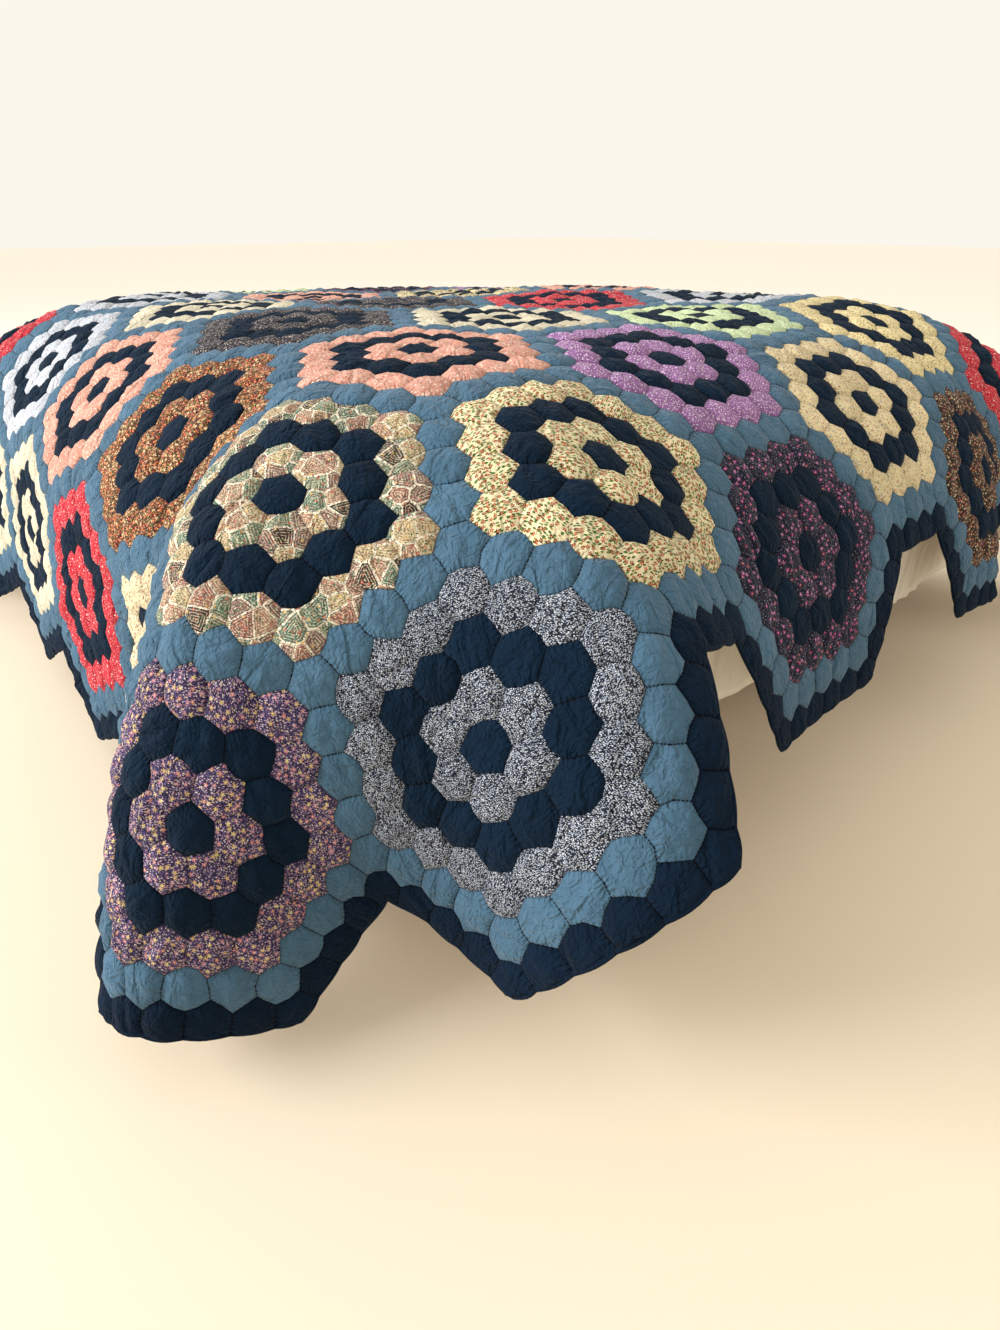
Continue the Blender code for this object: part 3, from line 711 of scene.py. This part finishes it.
def hemLoops():
    # Edges between two spare places, each with the patch inside it, joined end to end
    follow = {}
    for triangle in cells:
        for k in range(3):
            a, b, c = (int(triangle[(k + m) % 3]) for m in range(3))
            if spare[a] and spare[b] and not spare[c]:
                follow[a] = (b, c)
    loops = []
    while follow:
        start = min(follow)
        loop = []
        here = start
        while here in follow:
            after, inside = follow.pop(here)
            loop.append((here, after, inside))
            here = after
        loops.append(loop)
    return loops


hem = {"thicknessMm": 7.0, "stations": 6, "around": 8, "scallopMm": 2.2, "pinch": 0.20, "seed": 5}


def makeHem():
    # The border's outer edge turned under: a soft fold, pinched at each seam
    random = np.random.default_rng(hem["seed"])
    points, faces, cloths, toSeam = [], [], [], []
    for loop in hemLoops():
        home = np.repeat([inside for _, _, inside in loop], hem["stations"])
        phase = np.tile(np.arange(hem["stations"]) / hem["stations"], len(loop))
        start = np.repeat(hemFlat[[a for a, _, _ in loop]], hem["stations"], axis=0)
        end = np.repeat(hemFlat[[b for _, b, _ in loop]], hem["stations"], axis=0)
        bulge = np.sin(math.pi * phase)
        place = start + (end - start) * phase[:, None]
        middle, normals = onCloth(home, place - flat[home])
        ahead = np.roll(middle, -1, 0) - np.roll(middle, 1, 0)
        ahead = ahead / np.linalg.norm(ahead, axis=1)[:, None]
        outward = np.cross(ahead, normals)
        outward = outward / np.linalg.norm(outward, axis=1)[:, None]
        if ((middle - surface[home]) * outward).sum() < 0:
            outward = -outward
        full = np.repeat(random.uniform(0.75, 1.15, len(loop)), hem["stations"])
        half = hem["thicknessMm"] / 2000 * (1 - hem["pinch"] * (1 - bulge)) * (0.9 + 0.1 * full)
        push = hem["scallopMm"] / 1000 * bulge * full - 0.0008
        travelled = np.cumsum(np.linalg.norm(np.diff(place, axis=0, prepend=place[:1]), axis=1))
        base, ring = len(points), hem["around"]
        for k in range(len(middle)):
            for turn in range(ring):
                angle = 2 * math.pi * turn / ring
                points.append(middle[k] + outward[k] * (math.cos(angle) * half[k] * 1.2 + push[k])
                              + normals[k] * (math.sin(angle) * half[k] + 0.0004))
                cloths.append((travelled[k], angle * 0.0035))
                # Near each seam end toSeam is small, so the painted seam shade darkens the hem's pinches
                toSeam.append(min(phase[k], 1 - phase[k]) * 0.05)
        for k in range(len(middle)):
            after = (k + 1) % len(middle)
            for turn in range(ring):
                beside = (turn + 1) % ring
                faces.append((base + k * ring + turn, base + k * ring + beside,
                              base + after * ring + beside, base + after * ring + turn))
    body = newMesh("quilt_hem", np.array(points), faces, clothMaterials["hemNavy"])
    bpy.context.view_layer.objects.active = body
    body.select_set(True)
    bpy.ops.object.mode_set(mode="EDIT")
    bpy.ops.mesh.select_all(action="SELECT")
    bpy.ops.mesh.normals_make_consistent(inside=False)
    bpy.ops.object.mode_set(mode="OBJECT")
    body.select_set(False)
    setUv(body, "cloth", np.array(cloths))
    setValues(body, "toSeam", np.array(toSeam))
    setValues(body, "alongSeam", np.zeros(len(toSeam)))
    setValues(body, "seamShow", np.ones(len(toSeam)))
    setValues(body, "tint", np.full(len(toSeam), 0.5))
    return body


bpy.ops.object.select_all(action="DESELECT")
hemRoll = makeHem()
print("hem rolled")


def plainCotton(name, colour, creaseMm, strength, fall=1.0):
    # Plain woven cotton: matt, with a fine grain, soft laundered creases, and painted shade darkening the
    # colour along the crease pattern
    material, tree, shader = startMaterial(name)
    place = addNode(tree, "ShaderNodeTexCoord").outputs["Object"]
    hung = addNode(tree, "ShaderNodeMapping", {}, {"Scale": (1.0, 1.0, fall)}, {"Vector": place})
    crease = addNode(tree, "ShaderNodeTexNoise", {}, {
        "Scale": 1000 / creaseMm, "Detail": 4.0, "Distortion": 0.8}, {"Vector": hung.outputs[0]})
    grain = addNode(tree, "ShaderNodeTexNoise", {}, {"Scale": 1000 / 1.5, "Detail": 1.0}, {"Vector": place})
    # Painted shade: the crease noise darkens the colour towards a grey beige
    tree.links.new(mixColour(tree, math2(tree, "MULTIPLY", crease.outputs["Fac"], 0.25),
                             toLinear(colour), toLinear("#cfc6b6")), shader.inputs["Base Color"])
    height = math2(tree, "MULTIPLY_ADD", grain.outputs["Fac"], 0.08, crease.outputs["Fac"])
    bump = addNode(tree, "ShaderNodeBump", {}, {"Strength": strength, "Distance": 0.006},
                   {"Height": height})
    tree.links.new(bump.outputs[0], shader.inputs["Normal"])
    shader.inputs["Roughness"].default_value = 0.9
    shader.inputs["Sheen Weight"].default_value = 0.08
    return material


def makeBacking():
    # The quilt's underside, one plain cloth out to the hem
    home, local, faces = [], [], []
    order = {}

    def place(n, anchor, spot):
        if n not in order:
            order[n] = len(home)
            home.append(anchor)
            local.append(spot - flat[anchor])
        return order[n]
    for triangle in cells:
        anchor = int(next(n for n in triangle if not spare[n]))
        outer = [place(int(n), anchor, hemFlat[n]) for n in triangle]
        inner = []
        for a, b in ((0, 1), (1, 2), (2, 0)):
            pair = tuple(sorted((int(triangle[a]), int(triangle[b]))))
            inner.append(place(pair, anchor, (hemFlat[pair[0]] + hemFlat[pair[1]]) / 2))
        p, q, r = outer
        u, v, w = inner
        faces += [(p, w, u), (q, u, v), (r, v, w), (u, w, v)]  # wound to face down
    points, normals = onCloth(np.array(home), np.array(local))
    body = newMesh("quilt_backing", points - normals * puff["backingMm"] / 1000, faces,
                   plainCotton("plain_backing_cotton", "#d9cfba", 30, 0.4))
    flatPlaces = flat[home] + np.array(local)
    setUv(body, "OFBake", (flatPlaces - flatPlaces.min(0)) / max(hemSpan))
    return body


backing = makeBacking()
print("backing laid")

bedSheet = {"hemHeight": 0.215, "standOff": 0.030, "cornerStandOff": 0.012, "spread": 0.006,
            "underQuilt": 0.054, "overMattress": 0.018, "pleatMm": 74, "pleatDepth": 0.35,
            "hemRise": 0.010, "hemRipple": 0.006, "hemSwells": 5, "hemSwellStart": 1.0,
            "thickness": 0.0012, "flatX": 2.38, "flatY": 2.56}
# Its long folds round the bed: how many, share of the depth, start. How the pleats crowd and part
# round the bed: how often, by how much, start.
skirtWaves = ((13, 0.6, 0.5), (21, 0.4, 2.0))
pleatDrifts = ((7, 1.6, 0.0), (17, 1.1, 1.0))
# The hanging skirt by level: share of the hang, stand off and fold depth as shares of the reach
skirtLevels = ((0.12, 0.29, 0.00), (0.35, 0.52, 0.15), (0.65, 0.62, 0.25), (1.00, 0.65, 0.35))
topRings = ((0.60, 0.08), (0.40, 0.16), (0.27, 0.22), (0.15, 0.25), (0.06, 0.26), (0.0, 0.26))


def roundedOutline(inset, radius, sideSteps, cornerSteps):
    halfX, halfY = bedSizeX / 2 - inset, bedSizeY / 2 - inset
    signs = ((1, 1), (-1, 1), (-1, -1), (1, -1))
    outline = []
    for corner, (sx, sy) in enumerate(signs):
        for step in range(cornerSteps + 1):
            angle = math.pi / 2 * (corner + step / cornerSteps)
            outline.append((sx * (halfX - radius) + radius * math.cos(angle),
                            sy * (halfY - radius) + radius * math.sin(angle)))
        nextX, nextY = signs[(corner + 1) % 4]
        start, angle = np.array(outline[-1]), math.pi / 2 * (corner + 1)
        end = np.array((nextX * (halfX - radius) + radius * math.cos(angle),
                        nextY * (halfY - radius) + radius * math.sin(angle)))
        outline += [tuple(start + (end - start) * step / sideSteps) for step in range(1, sideSteps)]
    return np.array(outline)


def ringFaces(rings, around, closedBottom):
    faces = [tuple(range(around))]
    for ring in range(rings - 1):
        for step in range(around):
            after = (step + 1) % around
            faces.append((ring * around + step, (ring + 1) * around + step,
                          (ring + 1) * around + after, ring * around + after))
    if closedBottom:
        faces.append(tuple((rings - 1) * around + step for step in reversed(range(around))))
    return faces


def topSurface(gap, spread, sideSteps, cornerSteps):
    rings = []
    for inset, radius in topRings:
        outline = roundedOutline(inset - spread, radius + spread, sideSteps, cornerSteps)
        rings.append(np.c_[outline, clothHeight(outline[:, 0], outline[:, 1]) - gap])
    return rings


def makeBedSheet():
    sideSteps, cornerSteps = 120, 26
    rings = topSurface(bedSheet["underQuilt"] - bedSheet["overMattress"], bedSheet["spread"],
                       sideSteps, cornerSteps)
    edge = rings[-1]
    around = len(edge)
    outward = edge[:, :2] - roundedOutline(drape["bedCornerRadius"], 0, sideSteps, cornerSteps)
    outward = outward / np.linalg.norm(outward, axis=1)[:, None]
    cornering = 1 - np.abs(outward[:, 0] ** 2 - outward[:, 1] ** 2)
    reach = bedSheet["standOff"] + (bedSheet["cornerStandOff"] - bedSheet["standOff"]) * cornering
    turn = np.arange(around) * 2 * math.pi / around
    waves = sum(depth * np.sin(many * turn + start) for many, depth, start in skirtWaves)
    aroundBed = np.linalg.norm(np.roll(edge, -1, 0) - edge, axis=1).sum()
    pleatCount = round(aroundBed * 1000 / bedSheet["pleatMm"])
    lean = pleatCount * turn
    lean = lean + sum(drift * np.sin(often * turn + start) for often, drift, start in pleatDrifts)
    pleats = 1 - 2 * np.abs(np.sin(lean / 2)) ** 0.8
    pleats = pleats * (0.55 + 0.45 * np.sin(9 * turn + 0.4))
    level, standing, folding = (np.array(column) for column in zip(*skirtLevels))
    for share in np.linspace(0.06, 1.0, 18):
        ring = edge.copy()
        away = np.interp(share, np.r_[0, level], np.r_[0, standing])
        depth = np.interp(share, np.r_[0, level], np.r_[0, folding])
        push = reach * (away + depth * waves + bedSheet["pleatDepth"] * ease(share * 1.2) * pleats)
        ring[:, :2] += outward * push[:, None]
        swell = bedSheet["hemRise"] * np.sin(bedSheet["hemSwells"] * turn + bedSheet["hemSwellStart"])
        hemLine = bedSheet["hemHeight"] + swell + bedSheet["hemRipple"] * (waves + pleats)
        ring[:, 2] = edge[:, 2] + (hemLine - edge[:, 2]) * share
        rings.append(ring)
    body = newMesh("bed_sheet_cloth", np.vstack(rings), ringFaces(len(rings), around, False),
                   plainCotton("washed_white_percale", "#f3efe6", 26, 1.0, fall=0.22))
    wall = body.modifiers.new("thickness", "SOLIDIFY")
    wall.thickness = bedSheet["thickness"]
    wall.offset = -1
    return body


sheetCloth = makeBedSheet()
print("sheet hung")


# The mattress's upper and lower edges: distance from the edge, and how far that level stands out
# (+) or in (-), as a share of its distance from the middle
mattressShoulder = ((0.012, -0.003), (0.03, 0.0), (0.06, 0.001))
mattressFoot = ((0.03, -0.001), (0.012, 0.003), (0.0, -0.006))


def makeMattress():
    rings = topSurface(bedSheet["underQuilt"], 0, 24, 8)
    edge = rings[-1]
    lowest = float(mattressLow.z)
    for drop, outset in mattressShoulder:
        ring = edge.copy()
        ring[:, 2] -= drop
        ring[:, :2] *= 1 + outset
        rings.append(ring)
    for height, outset in mattressFoot:
        ring = edge.copy()
        ring[:, 2] = lowest + height
        ring[:, :2] *= 1 + outset
        rings.append(ring)
    return newMesh("mattress_pad", np.vstack(rings), ringFaces(len(rings), len(edge), True),
                   plainCotton("woven_mattress_ticking", "#e8e4da", 22, 0.3))


mattress = makeMattress()


def oiledWood(name, pale, dark, grainMm):
    # Planed and oiled timber: long grain along X, low gloss
    material, tree, shader = startMaterial(name)
    place = addNode(tree, "ShaderNodeTexCoord").outputs["Object"]
    stretched = addNode(tree, "ShaderNodeMapping", {}, {"Scale": (0.12, 1.0, 1.0)}, {"Vector": place})
    grain = addNode(tree, "ShaderNodeTexNoise", {}, {
        "Scale": 1000 / grainMm, "Detail": 5.0, "Distortion": 0.6}, {"Vector": stretched.outputs[0]})
    tree.links.new(mixColour(tree, grain.outputs["Fac"], toLinear(pale), toLinear(dark)),
                   shader.inputs["Base Color"])
    bump = addNode(tree, "ShaderNodeBump", {}, {"Strength": 0.15, "Distance": 0.001},
                   {"Height": grain.outputs["Fac"]})
    tree.links.new(bump.outputs[0], shader.inputs["Normal"])
    shader.inputs["Roughness"].default_value = 0.48
    return material


baseWood = oiledWood("oiled_pine_base", "#c9ad84", "#a88359", 9)
legWood = oiledWood("oiled_beech_leg", "#9a7450", "#7a5536", 6)
for nodeName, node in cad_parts.items():
    if nodeName == "bed_base" or nodeName.startswith("leg_"):
        node.data.materials.clear()
        node.data.materials.append(baseWood if nodeName == "bed_base" else legWood)

for piece in [*patches, hemRoll, backing, sheetCloth, mattress]:
    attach(piece, "root")
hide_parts("quilt")
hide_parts("bed_sheet")
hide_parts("mattress")
print("pieces placed")

# Room: a pale floor and soft daylight from behind and to the left
studio = {"floorColour": "#dccdb5", "farColour": "#f2eadd", "floorWidth": 60, "fadeFrom": 1.3,
          "fadeTo": 4.6, "farPaintedGlow": 0.08, "floorRoughness": 0.75,
          "windowWatts": 600, "windowPlace": (-5.6, 2.3, 3.2), "windowSize": (3.4, 2.4),
          "fillWatts": 60, "fillPlace": (2.6, -4.2, 3.0), "fillSize": (3.0, 2.0),
          "wallStrength": 0.97, "frontStrength": 0.80, "backStrength": 1.25}


def makeFloor():
    # Matt painted floor: a darker warm tone near the bed that partly stands in as painted shade under it,
    # paler far off, where a painted glow lifts it into the backdrop
    bpy.ops.object.select_all(action="DESELECT")
    bpy.ops.mesh.primitive_plane_add(size=studio["floorWidth"], location=(0, 0, 0))
    floor = bpy.context.object
    floor.name = "floor"
    material, tree, shader = startMaterial("pale_painted_floor")
    place = addNode(tree, "ShaderNodeTexCoord").outputs["Object"]
    away = addNode(tree, "ShaderNodeVectorMath", {"operation": "LENGTH"}, {}, {"Vector": place})
    far = addNode(tree, "ShaderNodeMapRange", {"interpolation_type": "SMOOTHSTEP"}, {
        "From Min": studio["fadeFrom"], "From Max": studio["fadeTo"]},
        {"Value": away.outputs["Value"]}).outputs[0]
    colour = mixColour(tree, far, toLinear(studio["floorColour"]), toLinear(studio["farColour"]))
    tree.links.new(colour, shader.inputs["Base Color"])
    # Painted glow: the far floor emits its own colour
    tree.links.new(colour, shader.inputs["Emission Color"])
    tree.links.new(math2(tree, "MULTIPLY", far, studio["farPaintedGlow"]), shader.inputs["Emission Strength"])
    shader.inputs["Roughness"].default_value = studio["floorRoughness"]
    floor.data.materials.append(material)


def addSoftLight(name, place, target, size, watts, colour):
    light = bpy.data.lights.new(name, "AREA")
    light.shape = "RECTANGLE"
    light.size, light.size_y = size
    light.energy = watts
    light.color = toLinear(colour)[:3]
    holder = bpy.data.objects.new(name, light)
    bpy.context.scene.collection.objects.link(holder)
    holder.location = place
    aim = np.array(target, float) - np.array(place, float)
    flatLength = math.hypot(aim[0], aim[1])
    holder.rotation_euler = (math.atan2(flatLength, -aim[2]), 0, math.atan2(-aim[0], aim[1]))


makeFloor()
addSoftLight("window_light", studio["windowPlace"], (0, 0, 0.5), studio["windowSize"],
             studio["windowWatts"], "#f8faff")
addSoftLight("fill_light", studio["fillPlace"], (0.3, -0.6, 0.2), studio["fillSize"],
             studio["fillWatts"], "#fff8ee")
world = bpy.data.worlds.new("soft_daylight")
world.use_nodes = True
world.node_tree.nodes["Background"].inputs[0].default_value = toLinear("#fffaf0")
# The daylight is strongest from the far side, where the windows are
lightPath = addNode(world.node_tree, "ShaderNodeLightPath")
skyWay = addNode(world.node_tree, "ShaderNodeTexCoord").outputs["Generated"]
skySides = addNode(world.node_tree, "ShaderNodeSeparateXYZ", {}, {}, {"Vector": skyWay})
daylight = addNode(world.node_tree, "ShaderNodeMapRange", {"interpolation_type": "SMOOTHSTEP"}, {
    "From Min": -0.6, "From Max": 0.6, "To Min": studio["frontStrength"],
    "To Max": studio["backStrength"]}, {"Value": skySides.outputs[1]}).outputs[0]
seen = addNode(world.node_tree, "ShaderNodeMix", {"data_type": "FLOAT"}, {3: studio["wallStrength"]},
               {0: lightPath.outputs["Is Camera Ray"], 2: daylight}).outputs[0]
world.node_tree.links.new(seen, world.node_tree.nodes["Background"].inputs[1])
bpy.context.scene.world = world
bpy.context.scene.view_settings.view_transform = "Standard"  # cloth colours stay as dyed

# Camera: low over the near corner, looking down across the bed. Its place is from the bed's middle.
view = {"lensMm": 19.54, "sensorMm": 36, "place": (-1.126, -1.507), "overCrown": 0.16,
        "tiltDegrees": 58.2, "turnDegrees": -40}
cameraData = bpy.data.cameras.new("camera")
cameraData.lens = view["lensMm"]
cameraData.sensor_width = view["sensorMm"]
camera = bpy.data.objects.new("camera", cameraData)
bpy.context.scene.collection.objects.link(camera)
camera.location = (view["place"][0] + bedMiddle[0], view["place"][1] + bedMiddle[1],
                   crownHeight + view["overCrown"])
camera.rotation_euler = (math.radians(view["tiltDegrees"]), 0, math.radians(view["turnDegrees"]))
bpy.context.scene.camera = camera
